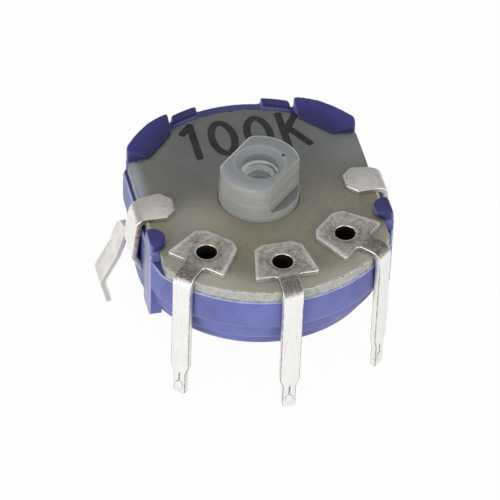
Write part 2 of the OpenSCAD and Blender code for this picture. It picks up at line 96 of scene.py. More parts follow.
class HousingSettings(bpy.types.PropertyGroup):
    """Sizes and colours of the moulded cup."""

    colour: bpy.props.FloatVectorProperty(
        name="Plastic", description="Main colour of the moulding", subtype="COLOR", size=3,
        default=(0.158, 0.182, 0.455), min=0, max=1)
    shade: bpy.props.FloatVectorProperty(
        name="Shade", description="Deeper colour in its cloudy patches", subtype="COLOR", size=3,
        default=(0.122, 0.136, 0.360), min=0, max=1)
    # Painted shade laid on the tops and inner faces of the hooks and posts
    painted_top_shade: bpy.props.FloatVectorProperty(
        name="Painted Top Shade", description="Painted shade on the tops and inner faces of hooks and posts", subtype="COLOR", size=3,
        default=(0.048, 0.046, 0.212), min=0, max=1)
    # Painted highlight laid along the rounded edges
    painted_edge_highlight: bpy.props.FloatVectorProperty(
        name="Painted Edge Highlight", description="Paler colour along the edges", subtype="COLOR", size=3,
        default=(0.580, 0.620, 0.930), min=0, max=1)
    melt: bpy.props.IntProperty(
        name="Soft Forms", description="How often the hooks, posts and rim are smoothed", default=28, min=0, max=40)
    fine_edge: bpy.props.FloatProperty(
        name="Fine Edge", description="Rounding of the other edges", unit="LENGTH",
        default=0.11 * MM, min=0.01 * MM, max=0.2 * MM)


class BoardSettings(bpy.types.PropertyGroup):
    """Sizes and colours of the resistor board and its print."""

    cool: bpy.props.FloatVectorProperty(
        name="Cool Laminate", description="Colour of the laminate towards the back", subtype="COLOR", size=3,
        default=(0.175, 0.185, 0.184), min=0, max=1)
    warm: bpy.props.FloatVectorProperty(
        name="Warm Laminate", description="Colour of the laminate towards the terminals", subtype="COLOR", size=3,
        default=(0.312, 0.282, 0.200), min=0, max=1)
    cut: bpy.props.FloatVectorProperty(
        name="Cut Edge", description="Pale colour of the punched edge", subtype="COLOR", size=3,
        default=(0.480, 0.470, 0.395), min=0, max=1)
    ink: bpy.props.FloatVectorProperty(
        name="Ink", description="Colour of the printed value", subtype="COLOR", size=3,
        default=(0.014, 0.011, 0.012), min=0, max=1)
    ragged: bpy.props.FloatProperty(
        name="Ragged Edge", description="How far the punched edge wanders", unit="LENGTH",
        default=0.05 * MM, min=0, max=0.1 * MM)
    stroke: bpy.props.FloatProperty(
        name="Stroke", description="Width of the printed strokes", unit="LENGTH",
        default=0.56 * MM, min=0.2 * MM, max=0.8 * MM)


class MetalSettings(bpy.types.PropertyGroup):
    """Sizes and colours of the tinned terminals and clips."""

    tin: bpy.props.FloatVectorProperty(
        name="Tin", description="Colour of the clean tin", subtype="COLOR", size=3,
        default=(0.900, 0.888, 0.858), min=0, max=1)
    dull: bpy.props.FloatVectorProperty(
        name="Dull Tin", description="Colour of the dull tin on the lugs", subtype="COLOR", size=3,
        default=(0.520, 0.485, 0.435), min=0, max=1)
    # Greyer tin, also laid on the clips' tab tops as painted shade
    grey: bpy.props.FloatVectorProperty(
        name="Grey Tin", description="Greyer tin, laid on the clips' tab tops as painted shade", subtype="COLOR", size=3,
        default=(0.765, 0.735, 0.710), min=0, max=1)
    stain: bpy.props.FloatVectorProperty(
        name="Stain", description="Brown of the stains at bends and holes", subtype="COLOR", size=3,
        default=(0.085, 0.058, 0.040), min=0, max=1)
    gold: bpy.props.FloatVectorProperty(
        name="Golden Stain", description="Warm stain in the eyelets and on cut edges", subtype="COLOR", size=3,
        default=(0.600, 0.490, 0.350), min=0, max=1)
    edge: bpy.props.FloatProperty(
        name="Edge", description="Rounding of the stamped edges", unit="LENGTH",
        default=0.06 * MM, min=0.01 * MM, max=0.1 * MM)


class RotorSettings(bpy.types.PropertyGroup):
    """Sizes and colours of the rotor."""

    colour: bpy.props.FloatVectorProperty(
        name="Milky Plastic", description="Colour of the moulding", subtype="COLOR", size=3,
        default=(0.335, 0.337, 0.322), min=0, max=1)
    # Painted shade laid on the hub's top, darker and cooler
    top: bpy.props.FloatVectorProperty(
        name="Hub Top", description="Darker, cooler painted shade on the hub's top", subtype="COLOR", size=3,
        default=(0.300, 0.318, 0.327), min=0, max=1)
    # Pale colour painted as light inside the hole and as highlights along the top edge and on the thread rings
    bright: bpy.props.FloatVectorProperty(
        name="Bright Edge", description="Pale colour painted as light in the hole and as highlights", subtype="COLOR", size=3,
        default=(0.660, 0.680, 0.680), min=0, max=1)
    edge: bpy.props.FloatProperty(
        name="Edge", description="Rounding of the hub's edges", unit="LENGTH",
        default=0.28 * MM, min=0.01 * MM, max=0.35 * MM)
    ring: bpy.props.FloatProperty(
        name="Thread Ring", description="Half thickness of the rings in the hole", unit="LENGTH",
        default=0.10 * MM, min=0.02 * MM, max=0.2 * MM)


class StageSettings(bpy.types.PropertyGroup):
    """Light, floor and camera."""

    floor: bpy.props.FloatVectorProperty(
        name="Floor", description="Colour of the floor", subtype="COLOR", size=3,
        default=(0.9, 0.9, 0.9), min=0, max=1)
    sky: bpy.props.FloatProperty(
        name="Room Light", description="Strength of the light from all round", default=0.42, min=0, max=2)
    key: bpy.props.FloatProperty(
        name="Key Light", description="Power of the front lamps", unit="POWER", default=1.6, min=0, max=10)
    lens: bpy.props.FloatProperty(
        name="Lens", description="Focal length of the camera", unit="CAMERA", default=288, min=20, max=500)
    yaw: bpy.props.FloatProperty(
        name="Yaw", description="Turn of the camera about the part", subtype="ANGLE", default=math.radians(-14.694))
    pitch: bpy.props.FloatProperty(
        name="Pitch", description="Height of the camera over the board's plane", subtype="ANGLE",
        default=math.radians(42.971))
    roll: bpy.props.FloatProperty(
        name="Roll", description="Tilt of the camera about its own axis", subtype="ANGLE",
        default=math.radians(2.258))
    distance: bpy.props.FloatProperty(
        name="Distance", description="Distance from the camera to the rotor", unit="LENGTH", default=296.044 * MM)


def at(x, y, z):
    """A move by three lengths."""
    return Matrix.Translation((x, y, z))


def sized(x, y, z):
    """A scale along the three axes."""
    return Matrix.Diagonal((x, y, z, 1))


def turned(degrees, axis):
    """A turn about one axis."""
    return Matrix.Rotation(math.radians(degrees), 4, axis)


def linked(name, data):
    """A new object in the scene."""
    made = bpy.data.objects.new(name, data)
    bpy.context.scene.collection.objects.link(made)
    return made


def alone(piece):
    """Selects one object only."""
    bpy.ops.object.select_all(action="DESELECT")
    piece.select_set(True)
    bpy.context.view_layer.objects.active = piece


def edit(piece):
    """Goes into edit mode on one object, with all of it selected."""
    alone(piece)
    bpy.ops.object.mode_set(mode="EDIT")
    bpy.ops.mesh.select_all(action="SELECT")


def choose(piece, kind, wanted):
    """Goes into edit mode with the points, edges or faces that pass a test selected."""
    edit(piece)
    bpy.ops.mesh.select_mode(type=kind)
    bpy.ops.mesh.select_all(action="DESELECT")
    shape = bmesh.from_edit_mesh(piece.data)
    for part in {"VERT": shape.verts, "EDGE": shape.edges, "FACE": shape.faces}[kind]:
        part.select_set(wanted(part))
    bmesh.update_edit_mesh(piece.data)


def done():
    """Leaves edit mode."""
    bpy.ops.object.mode_set(mode="OBJECT")


def begin(add, place=Matrix(), **sizes):
    """Starts a shape from a primitive, with its place in its mesh."""
    bpy.ops.object.select_all(action="DESELECT")
    add(**sizes)
    made = bpy.context.object
    made.data.transform(place)
    return made


def join_flat(piece, least, turn):
    """Merges points closer than a least length, and joins faces that turn by less than some degrees."""
    edit(piece)
    bpy.ops.mesh.remove_doubles(threshold=least)
    bpy.ops.mesh.dissolve_limited(angle_limit=math.radians(turn))
    done()


def node_copy(node, name, *finishes):
    """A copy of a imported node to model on, in millimetres, with its triangles joined into faces."""
    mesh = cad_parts[node].data.copy()
    mesh.name = name
    mesh.materials.clear()
    for finish in finishes:
        mesh.materials.append(finish)
    mesh.transform(Matrix.Scale(1 / MM, 4))
    piece = linked(name, mesh)
    alone(piece)
    bpy.ops.mesh.customdata_custom_splitnormals_clear()
    join_flat(piece, 0.0002, 0.3)
    return piece


def soften(piece, width, wanted, least_turn=28, segments=3, finish=1, clamp=True, outer_only=False):
    """Rounds the sharp edges whose middle and direction pass a test, and gives them a finish by number."""
    def picked(edge):
        if len(edge.link_faces) != 2 or edge.calc_face_angle(0) <= math.radians(least_turn):
            return False
        start, end = (corner.co for corner in edge.verts)
        return (edge.is_convex or not outer_only) and wanted((start + end) / 2, (end - start).normalized())

    choose(piece, "EDGE", picked)
    bpy.ops.mesh.bevel(offset=width, offset_type="OFFSET", segments=segments, profile=0.5,
                       affect="EDGES", clamp_overlap=clamp, material=finish)
    done()


def trim(piece, height, **kept):
    """Cuts a piece level at a height, and closes the cut."""
    edit(piece)
    bpy.ops.mesh.bisect(plane_co=(0, 0, height), plane_no=(0, 0, 1), use_fill=True, **kept)
    done()


def fuse(piece, other, operation="UNION"):
    """Joins another closed shape to a piece, cuts it out of the piece, or keeps what they share."""
    alone(piece)
    step = piece.modifiers.new("join", "BOOLEAN")
    step.operation = operation
    step.solver = "EXACT"
    step.object = other
    bpy.ops.object.modifier_apply(modifier=step.name)
    bpy.data.objects.remove(other)
    return piece


def shave(piece, start, along, outward, length):
    """Cuts off what lies outward of a plane, over a length of it from a start."""
    along, outward = Vector(along).normalized(), Vector(outward).normalized()
    turn = Matrix((along.cross(outward), along, outward)).transposed().to_4x4()
    place = Matrix.Translation(start) @ turn @ at(0, length / 2, 1) @ sized(8, length, 2)
    fuse(piece, begin(bpy.ops.mesh.primitive_cube_add, place, size=1), "DIFFERENCE")


def settle(piece, body, replaced=None):
    """Sets a finished piece in metres, smooths it and lets it ride on its body."""
    piece.data.transform(Matrix.Scale(MM, 4))
    alone(piece)
    bpy.ops.object.shade_smooth_by_angle(angle=math.radians(32))
    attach(piece, body)
    if replaced:
        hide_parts(replaced)


def times(factor, colour):
    """A colour made lighter or darker."""
    return tuple(factor * part for part in colour)


class Nodes:
    """The shader nodes of one material or group, added by what they do."""

    shared = {}

    def __init__(self, tree):
        self.tree = tree

    def feed(self, made, sockets):
        """Gives a node's sockets their values and links."""
        for key, value in sockets.items():
            if isinstance(value, bpy.types.NodeSocket):
                self.tree.links.new(value, made.inputs[key])
            else:
                made.inputs[key].default_value = value
        return made

    def put(self, kind, sockets=None, **settings):
        """Adds a node with its settings, socket values and links."""
        made = self.tree.nodes.new(kind)
        for key, value in settings.items():
            setattr(made, key, value)
        return self.feed(made, sockets or {})

    def mix(self, share, first, second, kind="MIX"):
        """A colour mixed from two by a share."""
        sockets = {0: share}
        for index, value in ((6, first), (7, second)):
            sockets[index] = value if isinstance(value, bpy.types.NodeSocket) else (*value, 1)
        return self.put("ShaderNodeMix", sockets, data_type="RGBA", blend_type=kind).outputs[2]

    def step(self, value, low, high, to_low=0.0, to_high=1.0):
        """A smooth step of a value between two limits."""
        return self.put("ShaderNodeMapRange", {0: value, 1: low, 2: high, 3: to_low, 4: to_high},
                        interpolation_type="SMOOTHSTEP").outputs[0]

    def work(self, operation, first, second=0.0):
        """One step of arithmetic."""
        return self.put("ShaderNodeMath", {0: first, 1: second}, operation=operation).outputs[0]

    def plus(self, first, second, share):
        """A value with a share of a second one added."""
        return self.work("ADD", first, self.work("MULTIPLY", second, share))

    def both(self, first, *others):
        """The product of several masks."""
        for other in others:
            first = self.work("MULTIPLY", first, other)
        return first

    def noise(self, place, scale, detail=4.0, roughness=0.6, stretch=None):
        """Plain noise at a scale per millimetre, stretched along an axis where asked."""
        if stretch:
            place = self.put("ShaderNodeMapping", {"Vector": place, "Scale": stretch}).outputs["Vector"]
        return self.put("ShaderNodeTexNoise", {"Vector": place, "Scale": scale, "Detail": detail,
                                               "Roughness": roughness}).outputs["Fac"]

    def away(self, place, centre):
        """The distance from a point."""
        return self.put("ShaderNodeVectorMath", {0: place, 1: centre}, operation="DISTANCE").outputs["Value"]

    def out(self, x, y, centre=(0.0, 0.0)):
        """The distance from an upright axis."""
        return self.away(self.put("ShaderNodeCombineXYZ", {"X": x, "Y": y}).outputs[0], (*centre, 0.0))

    def split(self, place):
        """The three parts of a place."""
        apart = self.put("ShaderNodeSeparateXYZ", {0: place})
        return apart.outputs["X"], apart.outputs["Y"], apart.outputs["Z"]

    def facing(self):
        """The three parts of the way a surface faces."""
        return self.split(self.put("ShaderNodeNewGeometry").outputs["Normal"])

    def attribute(self, name):
        """A vector kept on the piece's own points."""
        return self.put("ShaderNodeAttribute", attribute_name=name, attribute_type="GEOMETRY").outputs["Vector"]

    def group(self, maker, sockets):
        """Places a shared group, which is made once."""
        if maker not in self.shared:
            self.shared[maker] = maker()
        return self.put("ShaderNodeGroup", sockets, node_tree=self.shared[maker]).outputs

    def clouds(self, place, scale):
        """The mask of soft patches."""
        return self.group(cloud_group, {"Place": place, "Scale": scale})["Mask"]

    def specks(self, place, scale, share):
        """The mask of small specks."""
        return self.group(speck_group, {"Place": place, "Scale": scale, "Share": share})["Mask"]


def new_group(name, inputs, outputs):
    """An empty shader node group with a place and some numbers as its inputs, and numbers as its outputs."""
    tree = bpy.data.node_groups.new(name, "ShaderNodeTree")
    tree.interface.new_socket("Place", in_out="INPUT", socket_type="NodeSocketVector")
    for socket, default in inputs.items():
        made = tree.interface.new_socket(socket, in_out="INPUT", socket_type="NodeSocketFloat")
        made.default_value = default
    for socket in outputs:
        tree.interface.new_socket(socket, in_out="OUTPUT", socket_type="NodeSocketFloat")
    return Nodes(tree), tree.nodes.new("NodeGroupInput").outputs, tree.nodes.new("NodeGroupOutput")


def cloud_group():
    """Soft cloudy patches."""
    n, given, out = new_group("Cloudy Patches", {"Scale": 0.4}, ["Mask"])
    broad = n.put("ShaderNodeTexNoise", {"Vector": given["Place"], "Scale": given["Scale"], "Detail": 4.0,
                                         "Roughness": 0.55, "Distortion": 0.4})
    n.feed(out, {"Mask": n.step(broad.outputs["Fac"], 0.34, 0.66)})
    return n.tree


def speck_group():
    """Small separate specks."""
    n, given, out = new_group("Small Specks", {"Scale": 6.0, "Share": 0.2}, ["Mask"])
    limit = n.work("SUBTRACT", 0.78, given["Share"])
    over = n.work("SUBTRACT", n.noise(given["Place"], given["Scale"], 3.0, 0.7), limit)
    n.feed(out, {"Mask": n.step(over, 0.0, 0.07)})
    return n.tree


def grain_group():
    """Fine surface grain, as a height and as a roughness."""
    n, given, out = new_group("Fine Grain", {"Scale": 12.0, "Smooth": 0.35, "Rough": 0.5}, ["Height", "Roughness"])
    patches = n.put("ShaderNodeTexNoise", {"Vector": given["Place"], "Scale": 0.6, "Detail": 3.0})
    wander = n.put("ShaderNodeMapRange", {0: patches.outputs["Fac"], 1: 0.3, 2: 0.7,
                                          3: given["Smooth"], 4: given["Rough"]})
    n.feed(out, {"Height": n.noise(given["Place"], given["Scale"]), "Roughness": wander.outputs[0]})
    return n.tree


class Finish(Nodes):
    """A material with its shader, the place on the piece in millimetres and the colour painted so far."""

    def __init__(self, name):
        self.material = bpy.data.materials.new(name)
        self.material.use_nodes = True
        super().__init__(self.material.node_tree)
        self.shader = self.tree.nodes["Principled BSDF"]
        coords = self.put("ShaderNodeTexCoord")
        scaled = self.put("ShaderNodeMapping", {"Vector": coords.outputs["Object"], "Scale": (1 / MM,) * 3})
        self.place = scaled.outputs["Vector"]
        self.colour = None

    def over(self, share, colour, kind="MIX"):
        """Paints a share of a colour over the one that is there."""
        self.colour = self.mix(share, self.colour, colour, kind)

    def surface(self, place, scale, smooth, rough, depth, height=None):
        """Feeds the colour and the grain, its depth in metres, and hands the material back."""
        grain = self.group(grain_group, {"Place": place, "Scale": scale, "Smooth": smooth, "Rough": rough})
        total = self.work("ADD", grain["Height"], height) if height else grain["Height"]
        bump = self.put("ShaderNodeBump", {"Height": total, "Distance": depth, "Strength": 1.0})
        self.feed(self.shader, {"Base Color": self.colour, "Roughness": grain["Roughness"],
                                "Normal": bump.outputs["Normal"]})
        return self.material


def housing_finish(look):
    """Satin plastic with painted shade, deep on the tops and inner faces of its hooks and posts and darker low down,
    painted light on its flat sides, and a little pale dust.
    """
    n = Finish("moulded_blue_plastic")
    n.colour = n.mix(n.clouds(n.place, 0.35), look.colour, look.shade)
    x, y, z = n.split(n.place)
    side, ahead, up = n.facing()
    # Painted light: the flat outer sides are painted a paler, uneven colour where light falls on them
    painted_side_light = n.both(n.step(n.work("ABSOLUTE", side), 0.8, 0.97),
                    n.step(n.work("ABSOLUTE", x), CUP_SIDE - 0.04, CUP_SIDE + 0.04),
                    n.step(n.noise(n.place, 1.3), 0.25, 0.6, 0.55, 0.8))
    n.over(painted_side_light, (0.36, 0.37, 0.53))
    # Painted shade: tops and inward faces above the board take a deep colour, darker nearer the board
    out = n.out(x, y)
    outward = n.work("DIVIDE", n.work("ADD", n.both(x, side), n.both(y, ahead)), out)
    inward = n.both(n.step(n.work("ABSOLUTE", side), 0.95, 0.7), n.step(outward, 0.85, 0.45))
    above = n.both(n.step(z, BOARD_TOP - 0.1, BOARD_TOP + 0.2), inward, 0.9)
    uneven = n.plus(z, n.noise(n.place, 1.2), 0.7)
    deep = n.mix(n.step(uneven, BOARD_TOP + 0.45, BOARD_TOP + 1.55), times(0.42, look.painted_top_shade), look.painted_top_shade)
    n.over(n.work("MAXIMUM", above, n.both(n.step(up, 0.25, 0.85), 0.6)), deep)
    dust = n.both(n.specks(n.place, 3.6, 0.11), n.clouds(n.place, 0.5), 0.3)
    n.over(dust, (0.46, 0.44, 0.50))
    n.shader.inputs["Specular IOR Level"].default_value = 0.22
    return n.surface(n.place, 9.0, 0.30, 0.46, 0.000012)


def housing_edge_finish(look):
    """Paler plastic along the rounded edges as a painted highlight, near white on the tiers' edges, and smoother than
    the body.
    """
    n = Finish("blue_edge_painted_highlight")
    _, _, z = n.split(n.place)
    _, _, up = n.facing()
    # Painted highlight: rounded edges low on the tiers that look up are painted near white
    tiers = n.both(n.step(z, BOARD_LOW - 1.2, BOARD_LOW - 1.8), n.step(up, 0.1, 0.4))
    n.colour = n.mix(n.both(n.clouds(n.place, 0.8), 0.45), times(0.8, look.painted_edge_highlight), look.colour)
    n.over(tiers, (0.86, 0.91, 1.0))
    return n.surface(n.place, 6.0, 0.24, 0.36, 0.00001)


def board_finish(look):
    """Stained paper laminate, cool at the back and warm in front, with a painted pale glow near the front and a pale
    ragged edge.
    """
    n = Finish("paper_laminate")
    x, y, z = n.split(n.place)
    toward = n.work("MAXIMUM", n.step(y, 6.5, -5.0), n.step(x, 1.0, -8.0, 0.0, 0.28))
    patchy = n.plus(0.65, n.clouds(n.place, 0.22), 0.35)
    n.colour = n.mix(n.both(toward, patchy), look.cool, look.warm)
    fibres = n.noise(n.place, 2.6, 6.0, 0.65)
    n.over(1.0, n.step(fibres, 0.25, 0.75, 0.90, 1.07), "MULTIPLY")
    worn = n.step(n.away(n.place, (-5.2, -2.6, BOARD_TOP)), 4.2, 0.6, 0.0, 0.40)
    n.over(worn, look.cut)
    stain = n.step(n.away(n.place, (-5.4, 2.2, BOARD_TOP)), 3.4, 0.8, 0.0, 0.30)
    damp = n.work("MAXIMUM", stain, n.both(n.clouds(n.place, 0.45), n.step(y, 1.0, 7.0), n.step(x, 6.5, 2.5), 0.35))
    n.over(damp, times(0.6, look.cool))
    bleached = n.step(n.away(n.place, (7.8, 4.8, BOARD_TOP)), 3.6, 0.8, 0.0, 0.40)
    n.over(bleached, times(1.9, look.cool))
    torn = n.noise(n.place, 1.7, 5.0, 0.7)
    out = n.out(x, y)
    # Painted light: a pale cream glow near the front edge
    soft = n.plus(n.step(x, -0.5, -4.0, 0.0, 0.7), n.noise(n.place, 0.5, 2.0), 1.6)
    glow = n.both(n.step(n.work("ADD", out, soft), BOARD_FRONT - 1.5, BOARD_FRONT + 0.9), n.step(y, -3.0, -7.5), 0.85)
    n.over(glow, look.cut)
    cold = n.both(n.step(x, 1.1 - BOARD_HALF, 0.1 - BOARD_HALF), n.step(y, -1.5, 1.5), 0.95)
    n.over(cold, (0.41, 0.45, 0.52))
    inset = n.work("MINIMUM", n.work("SUBTRACT", BOARD_FRONT, out),
                   n.work("SUBTRACT", BOARD_HALF, n.work("ABSOLUTE", x)))
    _, _, up = n.facing()
    rim = n.both(n.work("MAXIMUM", n.step(inset, 0.34, 0.0), n.step(up, 0.8, 0.4)), n.step(y, 2.5, -2.5, 0.62, 1.0))
    edge = n.step(n.plus(rim, torn, 0.55), 0.72, 1.10)
    pale = n.mix(n.step(torn, 0.36, 0.66), (0.49, 0.49, 0.455), (0.37, 0.37, 0.335))
    fringe = n.both(n.step(z, BOARD_TOP - 0.22, BOARD_TOP - 0.05), n.step(n.noise(n.place, 3.4, 4.0, 0.7), 0.42, 0.6))
    pale = n.mix(fringe, pale, times(1.5, look.cut))
    pale = n.mix(n.step(y, -1.0, 3.0), pale, times(1.9, look.cool))
    n.over(edge, pale)
    height = n.plus(n.both(torn, edge, 1.6), fibres, 0.8)
    return n.surface(n.place, 7.0, 0.40, 0.60, 0.00002, height)


def ink_finish(look):
    """Dark ink, a little thinner in places."""
    n = Finish("stamped_ink")
    n.colour = n.mix(n.clouds(n.place, 1.2), look.ink, times(2.2, look.ink))
    return n.surface(n.place, 8.0, 0.5, 0.7, 0.000004)


def lug_inset(n, x, y, edge):
    """How far inside one straight side of the lug a place lies."""
    across, along, start = edge
    return n.plus(n.plus(start, x, -across), y, -along)


def terminal_finish(look):
    """Dull stained tin on the lug, dark grains at the neck, bright scratched tin down the leg, with painted shadow in
    the eyelet, painted shade in the groove and round the nib, and a painted highlight on the eyelet's front edge.
    """
    n = Finish("terminal_tin")
    seed = n.attribute("own_place_shifted")
    x, y, z = n.split(n.attribute("own_place"))
    half = n.work("ABSOLUTE", x)
    on_lug = n.step(z, LUG_TOP - 0.30, LUG_TOP - 0.05)
    dull = n.mix(n.clouds(seed, 1.1), look.dull, times(0.62, look.dull))
    mottle = n.step(n.noise(seed, 3.2, 5.0, 0.7), 0.40, 0.62)
    dull = n.mix(n.both(mottle, 0.6), dull, times(1.45, look.dull))
    inset = lug_inset(n, half, y, LUG_SIDE)
    for edge in (LUG_CORNER, LUG_BACK):
        inset = n.work("MINIMUM", inset, lug_inset(n, half, y, edge))
    worn = n.step(n.plus(inset, n.noise(seed, 2.2), 0.8), 0.90, 0.45)
    dull = n.mix(n.both(worn, 0.85), dull, look.tin)
    scratches = n.step(n.noise(seed, 1.0, 5.0, 0.65, (9.0, 3.0, 0.8)), 0.50, 0.75, 0.0, 0.45)
    bright = n.mix(scratches, look.tin, times(0.72, look.tin))
    n.colour = n.mix(on_lug, bright, dull)
    hole = n.out(x, y, EYELET)
    grains = n.specks(seed, 9.0, 0.30)
    gilt = n.both(n.step(hole, 1.22, 0.92), n.step(y, EYELET[1] + 0.1, EYELET[1] + 0.6),
                  n.step(n.noise(seed, 7.0, 3.0, 0.7), 0.35, 0.6))
    n.over(n.both(gilt, 0.9), look.gold)
    ring = n.both(n.step(hole, 1.40, 1.08), on_lug)
    n.over(n.both(ring, grains, 0.6), look.stain)
    # Painted highlight: the front of the eyelet's edge is painted clean bright tin
    painted_lip_highlight = n.both(n.step(hole, 0.93, 0.88), n.step(y, EYELET[1] + 0.2, EYELET[1] - 0.2), 0.7)
    n.over(painted_lip_highlight, look.tin)
    neck = n.both(n.step(y, -8.7, -9.7), n.step(half, 1.5, 0.9), n.step(z, BOARD_TOP - 0.15, BOARD_TOP + 0.1))
    soot = n.both(neck, n.plus(0.34, n.specks(seed, 10.0, 0.30), 0.42))
    n.over(soot, look.stain)
    pits = n.both(n.specks(seed, 3.4, 0.13), n.step(half, 0.35, 0.75, 0.35, 0.85))
    n.over(pits, (0.15, 0.14, 0.13))
    # Painted shadow: the eyelet's inner side is painted near black and not metallic
    painted_hole_shadow = n.both(n.step(hole, 0.84, 0.79), n.step(z, 4.0, 5.0))
    n.over(painted_hole_shadow, (0.010, 0.008, 0.007))
    n.feed(n.shader, {"Metallic": n.work("SUBTRACT", 1.0, painted_hole_shadow)})
    # Painted shade lies in the groove and round the nib near the tip
    groove = n.both(n.step(half, 0.10, 0.04), n.step(z, -0.25, -0.40), n.step(z, -1.15, -1.0))
    reach = n.out(n.work("DIVIDE", x, NIB[0]), n.work("DIVIDE", n.work("SUBTRACT", z, NIB[2]), NIB[1]))
    rim = n.both(n.step(reach, 1.22, 1.08), n.step(reach, 0.86, 1.0), n.step(y, 0.12 - LEG_FACE, 0.08 - LEG_FACE))
    mark = n.work("MAXIMUM", groove, n.both(rim, n.step(z, NIB[2] - 0.2, NIB[2] + 0.2, 0.35, 0.9)))
    painted_groove_shade = n.both(mark, n.step(n.noise(seed, 2.6), 0.3, 0.6, 0.25, 0.7))
    n.over(painted_groove_shade, times(0.4, look.dull))
    return n.surface(seed, 6.0, 0.36, 0.52, 0.000008)


def terminal_edge_finish(look):
    """Bright metal round the lug, painted as a highlight, and uneven dark lines of painted shade down the sides of
    the leg.
    """
    n = Finish("terminal_edge")
    _, _, z = n.split(n.attribute("own_place"))
    seed = n.attribute("own_place_shifted")
    n.colour = n.mix(n.clouds(seed, 0.9), look.tin, look.grey)
    # Painted shade: uneven dark lines down the sides of the leg
    painted_edge_shade = n.both(n.step(z, BOARD_LOW + 0.4, BOARD_LOW - 0.4),
                    n.step(n.noise(seed, 1.6, 4.0, 0.7), 0.35, 0.6, 0.2, 0.9))
    n.over(painted_edge_shade, times(0.42, look.dull))
    n.shader.inputs["Metallic"].default_value = 1.0
    return n.surface(seed, 8.0, 0.26, 0.44, 0.000006)


def metal_edge_finish(look):
    """Bright metal along the stamped edges."""
    n = Finish("bright_stamped_edge")
    n.colour = n.mix(n.clouds(n.place, 0.7), look.tin, look.grey)
    n.shader.inputs["Metallic"].default_value = 1.0
    return n.surface(n.place, 8.0, 0.26, 0.40, 0.000006)


def clip_finish(look):
    """Greyer tin painted on the tab's top as shade, specked at its free end, bright on the strip, painted shade on
    faces that look forward, tan on the front cut edge.
    """
    n = Finish("clip_tin")
    x, y, z = n.split(n.place)
    half = n.work("ABSOLUTE", x)
    side, ahead, up = n.facing()
    flaky = n.step(n.noise(n.place, 3.0, 5.0, 0.7), 0.35, 0.65)
    n.colour = n.mix(flaky, times(0.92, look.tin), times(1.09, look.tin))
    leg = n.both(n.step(y, STRIP_BACK - 0.1, STRIP_BACK + 0.1), n.step(n.work("ABSOLUTE", side), 0.3, 0.6))
    cloudy = n.mix(n.clouds(n.place, 1.1), times(1.18, look.grey), times(0.97, look.grey))
    n.over(leg, cloudy)
    # Painted shade: faces that look up, such as the tab's top, take the greyer tin
    tab = n.step(up, 0.3, 0.8)
    n.over(tab, n.mix(flaky, times(0.93, look.grey), times(1.05, look.grey)))
    grains = n.specks(n.place, 6.0, 0.24)
    free_end = n.both(n.step(half, BOARD_HALF - 0.9, BOARD_HALF - 2.2), n.step(z, BOARD_TOP - 0.2, BOARD_TOP))
    n.over(n.both(grains, free_end, 0.8), (0.14, 0.12, 0.11))
    # Painted shade: faces that look forward are painted darker
    front = n.step(ahead, -0.6, -0.85)
    n.over(n.both(front, 0.7), times(0.55, look.grey))
    cut = n.both(front, n.step(z, BOARD_LOW - 2.5, BOARD_LOW), n.step(x, 0.7 - BOARD_HALF, 0.4 - BOARD_HALF))
    streaks = n.step(n.noise(n.place, 2.6, 4.0, 0.7), 0.40, 0.60)
    tan = n.mix(streaks, look.gold, times(2.6, look.stain))
    n.over(n.both(cut, 0.9), tan)
    n.over(n.both(n.specks(n.place, 2.4, 0.07), 0.5), (0.16, 0.14, 0.12))
    n.shader.inputs["Metallic"].default_value = 1.0
    return n.surface(n.place, 6.0, 0.36, 0.54, 0.000010)


